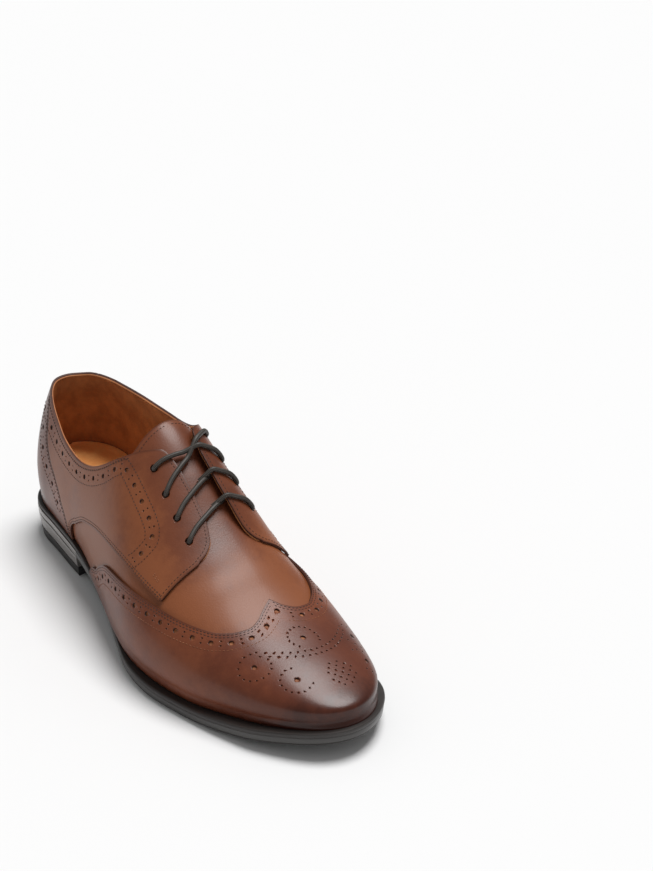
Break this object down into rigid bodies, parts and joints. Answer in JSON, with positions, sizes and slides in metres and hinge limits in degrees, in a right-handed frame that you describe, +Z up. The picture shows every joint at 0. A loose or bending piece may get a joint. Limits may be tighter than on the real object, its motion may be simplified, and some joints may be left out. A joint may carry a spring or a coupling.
{
  "type": "derby shoe",
  "caption": "Men's open-laced derby shoe with a wing tip, heel counter, facings, laces, a welted sole and a stacked heel, for the right foot, empty inside.",
  "frame": {"origin": "middle of the heel's tread, on the floor", "axes": "+Z up from the floor, +Y towards the toe, +X towards the outer side of the right foot"},
  "size_m": [0.1109, 0.3032, 0.1124],
  "materials": {
    "brown_leather": "polished, warm brown",
    "dark_leather": "polished, burnished dark brown",
    "insole_leather": "smooth tan",
    "sole_rubber": "satin black-brown",
    "welt_edge": "satin black-brown",
    "top_piece_rubber": "matt black",
    "waxed_lace": "round waxed cord, dark brown-grey"
  },
  "bodies": {
    "root": {"outsole": "sole_rubber", "welt": "welt_edge", "heel_base": "sole_rubber", "heel_top_piece": "top_piece_rubber", "insole": "insole_leather", "upper": "brown_leather", "tongue": "brown_leather", "wing_cap": "dark_leather", "heel_counter": "dark_leather", "quarter_outer": "brown_leather", "quarter_inner": "brown_leather", "lace_crossing_1": "waxed_lace", "lace_crossing_2": "waxed_lace", "lace_crossing_3": "waxed_lace"}
  },
  "joints": []
}
